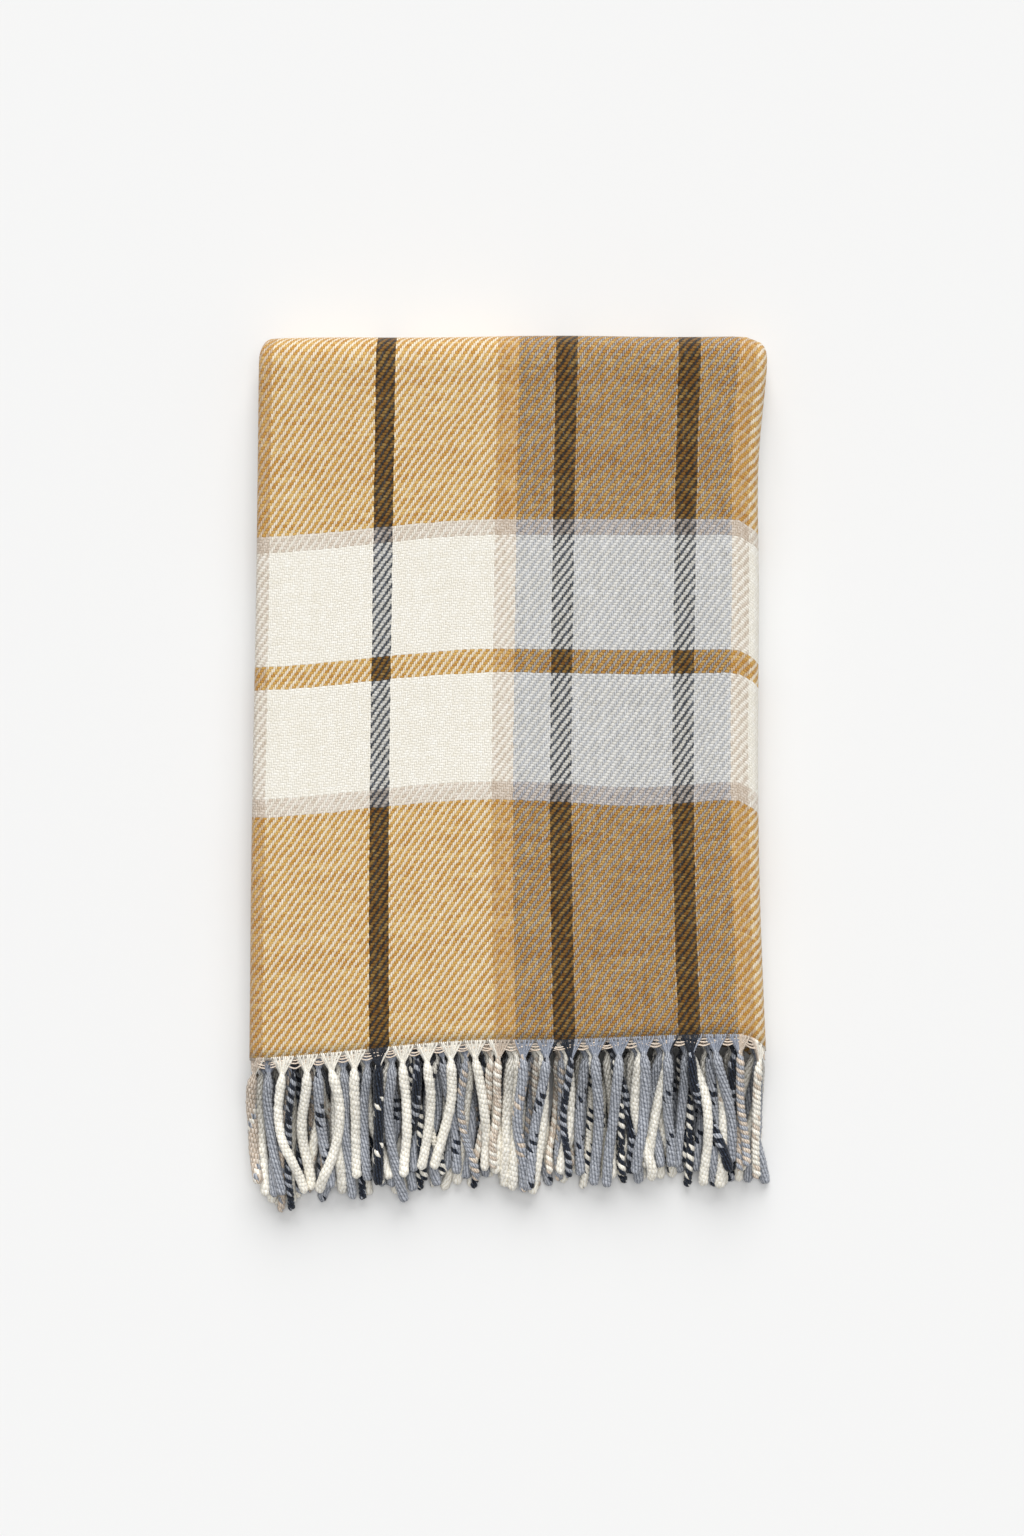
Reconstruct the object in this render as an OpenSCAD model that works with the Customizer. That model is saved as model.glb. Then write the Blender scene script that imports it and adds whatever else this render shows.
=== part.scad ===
// Folded throw blanket: one woven wool cloth with a fringe at both ends,
// folded in quarters across its width and then in quarters along its length,
// so that sixteen layers lie on each other.
//
// Millimetres. The origin is the middle of the footprint, at the bottom.
// +Z is up, +Y points to the far fold and -Y to the fringe.
// The stack lies in four panels, each of four layers. The far folds join the
// outer pair and the inner pair of panels, and the near fold joins the lower
// pair under the fringe. The upper two panels carry all the tassels.

/* [Folded size] */
// Width of the stack, from side fold to side fold
folded_w = 325; // [240:1:480]
// Length of the folded cloth, from the far fold to the hem
folded_l = 452; // [300:1:700]
// Length of a tassel beyond the hem
fringe_l = 95; // [60:1:140]
// How far the near fold, hidden by the fringe, stands out past the hem
near_reach = 8; // [0:0.5:9]

/* [Cloth] */
// Thickness of the brushed cloth
cloth_t = 2.4; // [1.8:0.1:4]
// Air between two layers of one panel
layer_gap = 0.3; // [0.2:0.05:0.8]
// Air between two panels
panel_gap = 0.3; // [0.2:0.05:1]
// How far the upper hidden selvedge stops short of the left side fold
upper_selvedge_inset = 3; // [0:0.5:30]
// How far the lower hidden selvedge stops short of the left side fold
lower_selvedge_inset = 5; // [0:0.5:30]

/* [Fringe] */
// Diameter of a twisted tassel
tassel_d = 4.8; // [3:0.1:8]
// Least side gap between tassels of neighbouring rows
tassel_gap = 0.35; // [0.2:0.05:2]
// Diameter of a tassel's neck, where its yarns leave the cloth
neck_d = 1.8; // [1:0.1:2]
// Length over which the neck swells to the full diameter
neck_l = 12; // [6:0.5:30]
// Diameter of each loose weft thread along the hem
weft_d = 1.2; // [0.8:0.1:1.6]
// Number of loose weft threads along the hem
weft_count = 3; // [1:1:5]
// Air between the threads, the hem and the tassel necks
thread_gap = 0.1; // [0.05:0.05:0.3]
// Height of the lowest tassel tip above the ground
floor_gap = 0.3; // [0.1:0.1:2]

/* [Warp stripes] */
// Width of a cream stripe
cream_w = 65.5; // [40:0.5:100]
// Width of a navy line
navy_w = 13.6; // [10:0.2:30]
// Width of a beige edge band
beige_w = 12.4; // [6:0.2:30]
// Width of the narrow grey band between beige and navy
grey_edge_w = 24.7; // [16:0.2:60]
// Width of the grey stripe between two navy lines
grey_mid_w = 63; // [30:0.5:100]
// How far the first cream stripe starts from the left side fold
stripe_start = 8.3; // [0:0.1:60]
// How far across the cloth a tassel's yarns lie from its place in the row
yarn_shift = 6.9; // [-8:0.1:8]

/* [Opening] */
// How far the turning line of the far folds lies beyond their centre
fold_slack = 8; // [0:0.5:10]

/* [Hidden] */
$fn = 48;
layers = 4;                          // layers in a panel, and panels in the stack
rows = 2 * layers;                   // rows of tassels, one for each layer that ends at the hem

layer_pitch = cloth_t + layer_gap;
panel_t = layers * cloth_t + (layers - 1) * layer_gap;
panel_pitch = panel_t + panel_gap;
stack_t = layers * panel_t + (layers - 1) * panel_gap;

total_l = folded_l + fringe_l;
far_y = total_l / 2;
hem_y = far_y - folded_l;
tip_y = hem_y - fringe_l;

far_fold_r = stack_t / 2;            // outside radius of the outer far fold
far_centre_y = far_y - far_fold_r;
inner_fold_r = panel_gap / 2;        // inside radius of a fold that closes on itself
outer_fold_r = far_fold_r - panel_t;
near_fold_r = panel_t + inner_fold_r;
near_centre_y = hem_y - near_reach + near_fold_r;
hinge_y = far_centre_y + fold_slack; // the record's main_fold turns about this line
hinge_z = stack_t / 2;

side_fold_r = layer_gap / 2 + cloth_t;  // outside radius of a side fold of two layers
wrap_fold_r = panel_t / 2;              // outside radius of the fold round all four

// Three rows of tassels share one pitch, so neighbours lie side by side.
phases = 3;
tassels = floor(folded_w / (phases * (tassel_d + tassel_gap)));
tassel_pitch = folded_w / tassels;
tip_pitch = (tassel_d + tassel_gap) / phases;
weft_pitch = weft_d + thread_gap;
neck_y = hem_y - weft_count * weft_pitch - thread_gap;
top_row_z = stack_t - cloth_t / 2;

// One repeat of the warp, from the left edge of the first cream stripe.
stripes = [
    [cream_w, "pale"], [navy_w, "navy"], [cream_w, "pale"], [beige_w, "pale"],
    [grey_edge_w, "grey"], [navy_w, "navy"], [grey_mid_w, "grey"],
    [navy_w, "navy"], [grey_edge_w, "grey"], [beige_w, "pale"],
];
shades = ["pale", "grey", "navy"];

// ---- the four layers of a panel, seen from the fringe end ----

module half_ring(r_out, r_in, side) {
    difference() {
        circle(r = r_out);
        circle(r = r_in);
        translate([side > 0 ? -2 * r_out : 0, -2 * r_out]) square([2 * r_out, 4 * r_out]);
    }
}

// One layer, counted from the bottom, from a left inset to a right inset.
module flat_layer(level, left_inset, right_inset) {
    translate([-folded_w / 2 + left_inset, level * layer_pitch])
        square([folded_w - left_inset - right_inset, cloth_t]);
}

module cloth_profile() {
    union() {
        flat_layer(0, lower_selvedge_inset, wrap_fold_r);
        flat_layer(1, upper_selvedge_inset, wrap_fold_r);
        flat_layer(2, side_fold_r, wrap_fold_r);
        flat_layer(3, side_fold_r, wrap_fold_r);
        translate([-folded_w / 2 + side_fold_r, panel_t - side_fold_r])
            half_ring(side_fold_r, side_fold_r - cloth_t, -1);
        translate([folded_w / 2 - wrap_fold_r, panel_t / 2]) {
            half_ring(wrap_fold_r, wrap_fold_r - cloth_t, 1);
            half_ring(side_fold_r, side_fold_r - cloth_t, 1);
        }
    }
}

// ---- panels and folds ----

// A panel from the far folds to near_y. A turned panel lies face down.
module panel(level, near_y, turned) {
    translate([0, far_centre_y, level * panel_pitch + (turned ? panel_t : 0)])
        mirror([0, 0, turned ? 1 : 0])
            rotate([90, 0, 0])
                linear_extrude(height = far_centre_y - near_y) cloth_profile();
}

// Half a turn of cloth about an axis along X. A turned fold has its face inside.
module fold(inside_r, turned) {
    rotate([0, 90, 0])
        rotate_extrude(angle = 180)
            translate([inside_r + (turned ? panel_t : 0), 0])
                mirror([turned ? 1 : 0, 0])
                    mirror([1, -1]) cloth_profile();
}

module top_panel() {
    color("burlywood") panel(3, hem_y, false);
}

module second_panel() {
    color("tan") panel(2, hem_y, true);
}

module third_panel() {
    color("wheat") panel(1, near_centre_y, false);
}

module bottom_panel() {
    color("peru") panel(0, near_centre_y, true);
}

module outer_far_fold() {
    color("burlywood") translate([0, far_centre_y, hinge_z]) fold(outer_fold_r, false);
}

module inner_far_fold() {
    color("tan") translate([0, far_centre_y, hinge_z]) fold(inner_fold_r, true);
}

module near_fold() {
    color("wheat")
        translate([0, near_centre_y, near_fold_r])
            mirror([0, 1, 0]) fold(inner_fold_r, false);
}

// ---- fringe ----

function row_z(row) = top_row_z - (row - 1) * layer_pitch
    - (row > layers ? panel_gap - layer_gap : 0);
function tip_z(row) = floor_gap + tassel_d / 2 + (rows - row) * tip_pitch;
function root_x(k) = -folded_w / 2 + (k + 0.5) * tassel_pitch;
function row_shift(row) = ((row - 1) % phases - 1) * tassel_pitch / phases;

// The lower panel of the two lies face down, so its layers come in reverse.
function row_layer(row) = row > layers ? rows - row : row - 1;

// Distance across the flat cloth from its middle, for a place x in one layer.
// Layers 0 and 1 meet at the left side fold and the outer two at the right.
function cloth_x(layer, x) =
    layer == 0 ? -(x + folded_w / 2) :
    layer == 1 ? x + folded_w / 2 :
    layer == 2 ? 1.5 * folded_w - x : -(1.5 * folded_w - x);

function stripe_end(i) = i < 0 ? 0 : stripe_end(i - 1) + stripes[i][0];
repeat_w = stripe_end(len(stripes) - 1);
function wrapped(p) = p - repeat_w * floor(p / repeat_w);
function shade_at(p, i = 0) = p < stripe_end(i) ? stripes[i][1] : shade_at(p, i + 1);
function warp_shade(s) = shade_at(wrapped(-s - stripe_start));

// A tassel is twisted from two strands. Navy in either names it, then grey.
function tassel_shade(row, k) =
    let (
        s = cloth_x(row_layer(row), root_x(k)) - yarn_shift,
        a = warp_shade(s - tassel_pitch / 4),
        b = warp_shade(s + tassel_pitch / 4)
    )
    a == "navy" || b == "navy" ? "navy" : a == "grey" || b == "grey" ? "grey" : "pale";

module hem_wefts(row) {
    color("linen")
        for (i = [0 : weft_count - 1])
            translate([-folded_w / 2, hem_y - thread_gap - weft_d / 2 - i * weft_pitch, row_z(row)])
                rotate([0, 90, 0]) cylinder(h = folded_w, d = weft_d);
}

module tassel(l) {
    tip_r = tassel_d / 2;
    round_tip = [for (a = [0:15:90]) [tip_r * cos(a), l - tip_r + tip_r * sin(a)]];
    rotate_extrude($fn = 24)
        polygon(concat([[0, 0], [neck_d / 2, 0], [tip_r, neck_l]], round_tip));
}

// The tassels of one row whose strands have the given shade.
module tassel_row(row, shade, tint) {
    fall = row_z(row) - tip_z(row);
    run = neck_y - tip_y;
    color(tint)
        for (k = [0 : tassels - 1])
            if (tassel_shade(row, k) == shade)
                translate([root_x(k) + row_shift(row), neck_y, row_z(row)])
                    rotate([90 + atan(fall / run), 0, 0])
                        tassel(sqrt(fall * fall + run * run));
}

module pale_tassels(row) {
    tassel_row(row, "pale", "cornsilk");
}

module grey_tassels(row) {
    tassel_row(row, "grey", "lightslategray");
}

module navy_tassels(row) {
    tassel_row(row, "navy", "midnightblue");
}

top_panel();
second_panel();
third_panel();
bottom_panel();
outer_far_fold();
inner_far_fold();
near_fold();
for (row = [1:rows]) {
    hem_wefts(row);
    pale_tassels(row);
    grey_tassels(row);
    navy_tassels(row);
}
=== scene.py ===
import math

import bpy
import numpy as np
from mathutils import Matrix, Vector
from mathutils.kdtree import KDTree


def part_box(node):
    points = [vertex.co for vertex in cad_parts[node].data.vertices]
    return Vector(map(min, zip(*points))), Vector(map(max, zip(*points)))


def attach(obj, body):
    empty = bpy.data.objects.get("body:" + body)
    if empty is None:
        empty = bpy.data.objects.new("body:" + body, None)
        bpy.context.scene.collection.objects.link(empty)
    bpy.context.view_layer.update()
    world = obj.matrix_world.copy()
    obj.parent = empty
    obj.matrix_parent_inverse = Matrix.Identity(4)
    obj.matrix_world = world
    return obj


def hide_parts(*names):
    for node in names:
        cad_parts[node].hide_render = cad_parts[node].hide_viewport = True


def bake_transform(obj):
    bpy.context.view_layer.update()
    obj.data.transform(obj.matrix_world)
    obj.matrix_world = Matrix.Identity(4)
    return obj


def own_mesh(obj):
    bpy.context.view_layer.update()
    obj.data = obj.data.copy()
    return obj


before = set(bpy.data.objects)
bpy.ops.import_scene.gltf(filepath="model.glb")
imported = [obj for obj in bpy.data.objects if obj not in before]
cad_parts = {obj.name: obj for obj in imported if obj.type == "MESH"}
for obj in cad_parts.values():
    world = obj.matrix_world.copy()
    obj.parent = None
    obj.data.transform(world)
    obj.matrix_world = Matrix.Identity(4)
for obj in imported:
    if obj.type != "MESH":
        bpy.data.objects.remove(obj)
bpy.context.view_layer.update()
print("frame loaded")

mm = 0.001
rows = range(1, 9)          # rows of tassels, from the top one down
shades = ("pale", "grey", "navy")

# the stack as the CAD gives it
topLow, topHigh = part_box("top_panel")
nearLow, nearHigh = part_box("near_fold")
foldedWidth = topHigh.x - topLow.x
halfWidth = foldedWidth / 2
stackHeight = topHigh.z
panelThick = topHigh.z - topLow.z
panelPitch = topLow.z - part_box("second_panel")[0].z
farCentreY, hemY = topHigh.y, topLow.y
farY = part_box("outer_far_fold")[1].y
hingeZ = stackHeight / 2
nearCentreY, nearRadius = nearHigh.y, nearHigh.y - nearLow.y

cloth = {
    "thick": 2.4 * mm,
    "flatLength": 1.81,         # hem to hem, without the fringe
    "leftBulb": 2.45 * mm,      # radius of the loose fold at the left
    "leftNeck": 8 * mm,         # how soon its lower layer lies flat again
    "innerFold": 1.35 * mm,     # radius of the hidden fold at the right
    "innerInset": 2 * mm,       # how much sooner it begins than the fold round it
    "selvedgeInset": (5.5 * mm, 3.5 * mm),   # lower and upper hidden selvedge
    "squareness": 2.7,          # 2 is a round far fold, more is squarer
    "columnStep": 9 * mm,
    "rowStep": 9 * mm,
    "sideTurnSteps": 10,        # facets in half a turn
    "innerTurnSteps": 6,
    "farTurnSteps": 22,
    "closeTurnSteps": 14,       # the near fold and the inner far fold
}

weave = {
    "endPitch": 309.2 / 250 * mm,       # across, one warp thread
    "pickPitch": 331.0 / 200 * mm,      # along, one weft thread
    "stripeStart": 11.0 * mm,           # first cream stripe, from the left fold
    "hemPicks": 1,                      # beige picks at each end
    # threads in one repeat, from the left edge of the first cream stripe
    "ends": ((53, "cream"), (11, "navy"), (53, "cream"), (10, "beige"), (20, "grey"),
             (11, "navy"), (51, "grey"), (11, "navy"), (20, "grey"), (10, "beige")),
    # threads in one repeat, from the hem
    "picks": ((92, "ochre"), (7, "beige"), (43, "cream"), (8, "ochre"), (44, "cream"),
              (7, "beige")),
}

# linear colours of the yarns
yarnColours = {
    "cream": (0.84, 0.805, 0.72),
    "beige": (0.58, 0.49, 0.40),
    "ochre": (0.46, 0.212, 0.026),
    "grey": (0.30, 0.328, 0.39),
    "navy": (0.0085, 0.012, 0.021),
}


def smooth(t):
    t = np.clip(t, 0, 1)
    return t * t * (3 - 2 * t)


def hill(value, middle, spread):
    return np.exp(-((value - middle) / spread) ** 2)


lie = {                         # how the folded stack has settled
    "leftDrop": 10.5 * mm,      # the weft sags towards the fringe on the left
    "farTilt": 1.3 * mm,        # but only this much at the far fold
    "midDrop": 4.5 * mm,        # it sags a little in the lower right
    "rightLift": 3.5 * mm,      # and rises again at the hem there
    "rightSag": 11.5 * mm,      # it hangs back where it turns round the right fold
    "sagWidth": 22 * mm,
    "lift": 3.0 * mm,           # the whole cloth lies a little further from the fringe
    "farReach": 1.7 * mm,       # and its far fold further still
    "farWave": 0.4 * mm,
    "hemStagger": 2.6 * mm,     # hidden layers end at slightly different lengths
    "hemRipple": 1.5 * mm,
    "bow": 3.4 * mm,            # the warp bows to the left halfway down
    "lean": 1.3 * mm,           # and stays a little to the left below
    "slide": 2.3 * mm,          # right of the middle it lies further right
    "flare": 3.8 * mm,          # it spreads at the hem
    "pinch": 1.0 * mm,          # and is narrower halfway
    "leftCorner": 5.0 * mm,     # the left far corner is drawn in
    "cornerLength": 18 * mm,
    "rightCorner": 2.8 * mm,    # the right one reaches out
    "rightPinch": 2.2 * mm,     # and is drawn in just below
    "sideStagger": 1.5 * mm,    # hidden layers differ a little in width
    "sideRipple": 1.2 * mm,
    "tuckIn": 3.5 * mm,         # and the lowest lie further in at the sides
    "leftDroop": 6.5 * mm,      # the side folds droop
    "leftRound": 11 * mm,       # from this far in
    "rightDroop": 9 * mm,
    "rightRound": 19 * mm,
    "hemDroop": 1.8 * mm,
    "hemRound": 16 * mm,
    "puff": 0.7 * mm,           # soft swells of the top
}


def settle(points):
    # every move is a shear or a squash of the whole stack, so no layer passes through another
    x, y, z = points.T.copy()
    side = np.clip(x / halfWidth, -1.1, 1.1)                # -1 at the left fold, 1 at the right
    down = np.clip((farY - y) / (farY - hemY), 0, 1.25)     # 0 at the far fold, 1 at the hem
    inHeap = 1 - z / stackHeight                            # 0 on top, 1 on the floor

    # towards the fringe
    leftRamp = smooth((-side - 0.02) / 1.05) * 1.15
    atFar = 1 - smooth(down / 0.1)
    drop = (lie["farTilt"] + (lie["leftDrop"] - lie["farTilt"]) * smooth(down / 0.3)) * leftRamp
    drop += lie["midDrop"] * hill(down, 0.66, 0.17) * hill(side, 0.5, 0.3)
    drop -= lie["rightLift"] * smooth((down - 0.55) / 0.45) * smooth((side - 0.1) / 0.7)
    rim = np.clip(1 - (halfWidth - x) / lie["sagWidth"], 0, 1)
    drop += lie["rightSag"] * rim ** 2.6 * (1 - 0.38 * atFar)
    drop -= lie["lift"] + lie["farReach"] * atFar
    drop -= lie["farWave"] * np.sin(6.6 * side + 0.4) * (1 - smooth(down / 0.12))
    uneven = lie["hemStagger"] * np.sin(z / (6.1 * mm) + 0.8)
    uneven += lie["hemRipple"] * np.sin(x / (47 * mm) + z / (3 * mm))
    drop += uneven * inHeap * smooth((down - 0.7) / 0.3)

    # to the right
    shift = -lie["bow"] * np.sin(math.pi * np.clip(down / 1.15, 0, 1))
    shift -= lie["lean"] * smooth((down - 0.3) / 0.5)
    shift += lie["slide"] * hill(side, 0.42, 0.42)
    shift += side * (lie["flare"] * down ** 3 - lie["pinch"] * np.sin(math.pi * np.clip(down, 0, 1)))
    corner = np.clip((y - (farY - lie["cornerLength"])) / lie["cornerLength"], 0, 1)
    shift += lie["leftCorner"] * np.clip(-side, 0, None) ** 3 * corner ** 3
    shift += lie["rightCorner"] * smooth((side - 0.6) / 0.37) * hill(down, 0, 0.09)
    shift -= lie["rightPinch"] * smooth((side - 0.75) / 0.22) * hill(down, 0.17, 0.12)
    uneven = lie["sideStagger"] * np.sin(z / (4.3 * mm) + 0.5)
    uneven += lie["sideRipple"] * np.sin(y / (63 * mm) + z / (5 * mm))
    shift += (uneven - lie["tuckIn"]) * inHeap * np.abs(side) ** 8 * np.sign(side)

    # and down
    lower = lie["leftDroop"] * np.clip(1 - (x + halfWidth) / lie["leftRound"], 0, 1) ** 2
    lower += lie["rightDroop"] * np.clip(1 - (halfWidth - x) / lie["rightRound"], 0, 1) ** 2
    lower += lie["hemDroop"] * np.exp(-np.clip(y - hemY, 0, None) / lie["hemRound"])
    swell = np.sin(x / (58 * mm) + 1.3) * np.sin(y / (81 * mm) + 0.4)
    swell += 0.6 * np.sin(x / (31 * mm) - y / (54 * mm))
    lower -= lie["puff"] * swell * (1 - np.abs(side) ** 4)
    return np.stack([x + shift, y - drop, z * (1 - lower / stackHeight)], axis=1)


def widthProfile():
    # one layer's run after another, from the lower hidden selvedge to the upper one
    thick, step = cloth["thick"], cloth["columnStep"]
    level = [thick / 2 + i * (panelThick - thick) / 3 for i in range(4)]
    wrapRadius = (level[3] - level[0]) / 2
    bulb, inner = cloth["leftBulb"], cloth["innerFold"]
    wrapX = halfWidth - panelThick / 2
    bulbX = -halfWidth + thick / 2 + bulb
    neckX = bulbX + cloth["leftNeck"]
    innerX = wrapX - cloth["innerInset"]
    lowerInset, upperInset = cloth["selvedgeInset"]
    points = []

    def run(x0, x1, h):
        count = max(2, round(abs(x1 - x0) / step))
        points.extend((x0 + (x1 - x0) * i / count, h) for i in range(count))

    def turn(x, h, radius, first, last, count):
        for i in range(count):
            a = math.radians(first + (last - first) * i / count)
            points.append((x + radius * math.cos(a), h + radius * math.sin(a)))

    run(-halfWidth + lowerInset, wrapX, level[0])
    turn(wrapX, panelThick / 2, wrapRadius, -90, 90, cloth["sideTurnSteps"])
    run(wrapX, bulbX, level[3])
    turn(bulbX, level[3] - bulb, bulb, 90, 270, cloth["sideTurnSteps"])
    low = level[3] - 2 * bulb
    for t in (0, 0.25, 0.5, 0.75):
        points.append((bulbX + (neckX - bulbX) * t, low + (level[2] - low) * float(smooth(t))))
    run(neckX, innerX, level[2])
    turn(innerX, panelThick / 2, inner, 90, -90, cloth["innerTurnSteps"])
    run(innerX, -halfWidth + upperInset, level[1])
    points.append((-halfWidth + upperInset, level[1]))
    points = np.array(points)
    # each point's distance across the flat cloth, from the left fold, as the top panel lies
    middle = np.full(len(points), (hemY + farCentreY) / 2)
    lying = settle(np.stack([points[:, 0], middle, points[:, 1] + stackHeight - panelThick], axis=1))
    along = np.concatenate([[0], np.cumsum(np.linalg.norm(np.diff(lying, axis=0), axis=1))])
    return points, along[np.argmin(lying[:, 0])] - along


def foldStations(centreY, centreZ, radius, side, firstUp, turned, count):
    # half a turn; a station is a place on the panel's underside and the way up through its layers
    power = cloth["squareness"]
    fine = np.arange(721)
    angles = np.linspace(0, math.pi, len(fine))
    bulge = (np.sin(angles) ** power + np.abs(np.cos(angles)) ** power) ** (-1 / power)
    y, z = bulge * np.sin(angles) * side, bulge * np.cos(angles) * (1 if firstUp else -1)
    length = np.concatenate([[0], np.cumsum(np.hypot(np.diff(y), np.diff(z)))])
    even = np.interp(np.linspace(0, length[-1], count + 1), length, fine)[:-1]
    y, z = np.interp(even, fine, y), np.interp(even, fine, z)
    share = np.interp(even, fine, angles) / math.pi
    way = -1 if turned else 1
    return [(centreY + radius * a, centreZ + radius * b, way * a, way * b, s)
            for a, b, s in zip(y, z, share)]


def lengthStations():
    # hem, top panel, far fold, bottom panel, near fold, third panel, far fold, second panel, hem
    step, closeSteps = cloth["rowStep"], cloth["closeTurnSteps"]
    inside = (panelPitch - panelThick) / 2      # radius of a fold that closes on itself
    stations = []

    def run(y0, y1, z, way, weight):
        count = round(abs(y1 - y0) / step)
        stations.extend((y0 + (y1 - y0) * i / count, z, 0.0, way, weight) for i in range(count))

    def turns(found, atUpper):
        stations.extend((y, z, dy, dz, atUpper(s)) for y, z, dy, dz, s in found)

    run(hemY, farCentreY, 3 * panelPitch, 1, 1.0)
    turns(foldStations(farCentreY, hingeZ, hingeZ - panelThick, 1, True, False, cloth["farTurnSteps"]),
          lambda s: 1 - s)
    run(farCentreY, nearCentreY, panelThick, -1, 0.0)
    turns(foldStations(nearCentreY, nearRadius, inside, -1, False, False, closeSteps),
          lambda s: 0.0)
    run(nearCentreY, farCentreY, panelPitch, 1, 0.0)
    turns(foldStations(farCentreY, hingeZ, inside + panelThick, 1, False, True, closeSteps),
          lambda s: s)
    run(farCentreY, hemY, 2 * panelPitch + panelThick, -1, 1.0)
    stations.append((hemY, 2 * panelPitch + panelThick, 0.0, -1, 1.0))
    return np.array(stations)


profile, across = widthProfile()
stations = lengthStations()


def onCloth(s, row, out):
    # a point of the cloth's own middle surface at its hem, out beyond it
    x = np.interp(-s, -across, profile[:, 0])
    h = np.interp(-s, -across, profile[:, 1])
    end = stations[0] if row <= 4 else stations[-1]
    return np.stack([x, np.full_like(x, end[0]) - out, end[1] + h * end[3]], axis=1)


def clothUv(grid):
    # across the flat cloth, and along it from the hem as each layer runs
    steps = np.linalg.norm(np.diff(grid, axis=0), axis=2)
    along = np.concatenate([np.zeros((1, grid.shape[1])), np.cumsum(steps, axis=0)])
    weights = stations[:, 4]
    half = cloth["flatLength"] / 2
    topEnd = int(np.argmax(weights < 1))                        # where the top panel ends
    middle = int(np.argmin(stations[:, 2] + (stations[:, 0] > 0)))    # the tip of the near fold
    firstPart = along[topEnd]
    v = along.copy()
    v[topEnd:middle + 1] = firstPart + (along[topEnd:middle + 1] - firstPart) * (
        (half - firstPart) / (along[middle] - firstPart))
    v[middle:] = half + (along[middle:] - along[middle]) * half / (along[-1] - along[middle])
    u = np.broadcast_to(across, v.shape)
    return u, v


def meshObject(name, points, faces, uv, material):
    # uv is given for each point, or for each corner of each face
    mesh = bpy.data.meshes.new(name)
    mesh.vertices.add(len(points))
    mesh.vertices.foreach_set("co", points.astype(np.float32).ravel())
    mesh.loops.add(faces.size)
    mesh.loops.foreach_set("vertex_index", faces.astype(np.int32).ravel())
    mesh.polygons.add(len(faces))
    mesh.polygons.foreach_set("loop_start", np.arange(0, faces.size, faces.shape[1], dtype=np.int32))
    mesh.polygons.foreach_set("use_smooth", np.ones(len(faces), bool))
    mesh.update(calc_edges=True)
    layer = mesh.uv_layers.new(name="cloth")
    corners = uv if uv.ndim == 3 else uv[faces.ravel()]
    layer.data.foreach_set("uv", corners.astype(np.float32).ravel())
    mesh.materials.append(material)
    thing = bpy.data.objects.new(name, mesh)
    bpy.context.scene.collection.objects.link(thing)
    return thing


def quadGrid(rowCount, columnCount):
    index = np.arange(rowCount * columnCount).reshape(rowCount, columnCount)
    a, b = index[:-1, :-1], index[:-1, 1:]
    c, d = index[1:, 1:], index[1:, :-1]
    return np.stack([a, d, c, b], axis=-1).reshape(-1, 4)


def clothPiece(material):
    grid = np.empty((len(stations), len(profile), 3))
    grid[..., 0] = profile[None, :, 0]
    grid[..., 1] = stations[:, None, 0] + profile[None, :, 1] * stations[:, None, 2]
    grid[..., 2] = stations[:, None, 1] + profile[None, :, 1] * stations[:, None, 3]
    u, v = clothUv(grid)
    points = settle(grid.reshape(-1, 3))
    uv = np.stack([u.ravel(), v.ravel()], axis=1)
    piece = meshObject("plaidCloth", points, quadGrid(*grid.shape[:2]), uv, material)
    solid = piece.modifiers.new("thickness", "SOLIDIFY")
    solid.thickness = cloth["thick"]
    solid.offset = 0
    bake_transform(piece)
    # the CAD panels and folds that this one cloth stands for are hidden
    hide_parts("top_panel", "second_panel", "third_panel", "bottom_panel",
                "outer_far_fold", "inner_far_fold", "near_fold")
    return piece


def put(tree, kind, **settings):
    made = tree.nodes.new(kind)
    for key, value in settings.items():
        setattr(made, key, value)
    return made


def feed(tree, socket, value):
    if isinstance(value, bpy.types.NodeSocket):
        tree.links.new(value, socket)
    else:
        socket.default_value = value


def calc(tree, operation, *values):
    made = put(tree, "ShaderNodeMath", operation=operation)
    for socket, value in zip(made.inputs, values):
        feed(tree, socket, value)
    return made.outputs[0]


def mixed(tree, share, first, second):
    made = put(tree, "ShaderNodeMix", data_type="RGBA")
    feed(tree, made.inputs[0], share)
    for socket, value in ((made.inputs[6], first), (made.inputs[7], second)):
        feed(tree, socket, (*value, 1) if isinstance(value, tuple) else value)
    return made.outputs[2]


def ranged(tree, value, low, high, newLow=0.0, newHigh=1.0):
    made = put(tree, "ShaderNodeMapRange", interpolation_type="SMOOTHSTEP")
    for socket, number in zip(made.inputs, (value, low, high, newLow, newHigh)):
        feed(tree, socket, number)
    return made.outputs[0]


def noise(tree, vector, scale, detail, roughness=0.5):
    made = put(tree, "ShaderNodeTexNoise")
    feed(tree, made.inputs["Vector"], vector)
    made.inputs["Scale"].default_value = scale
    made.inputs["Detail"].default_value = detail
    made.inputs["Roughness"].default_value = roughness
    return made


def vectorOf(tree, x, y, z=0.0):
    made = put(tree, "ShaderNodeCombineXYZ")
    for socket, value in zip(made.inputs, (x, y, z)):
        feed(tree, socket, value)
    return made.outputs[0]


def stripes(tree, index, runs):
    # the colour of one thread, counted within its repeat
    total = sum(count for count, colour in runs)
    made = put(tree, "ShaderNodeValToRGB")
    ramp = made.color_ramp
    ramp.interpolation = "CONSTANT"
    start = 0
    for i, (count, colour) in enumerate(runs):
        stop = ramp.elements[0] if i == 0 else ramp.elements.new(start / total)
        stop.color = (*yarnColours[colour], 1)
        start += count
    while len(ramp.elements) > len(runs):
        ramp.elements.remove(ramp.elements[-1])
    place = calc(tree, "DIVIDE", calc(tree, "ADD", calc(tree, "FLOORED_MODULO", index, total), 0.5), total)
    feed(tree, made.inputs[0], place)
    return made.outputs[0]


wool = {"roughness": 0.92, "specular": 0.15, "sheen": 0.18, "sheenRoughness": 0.55}


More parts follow.
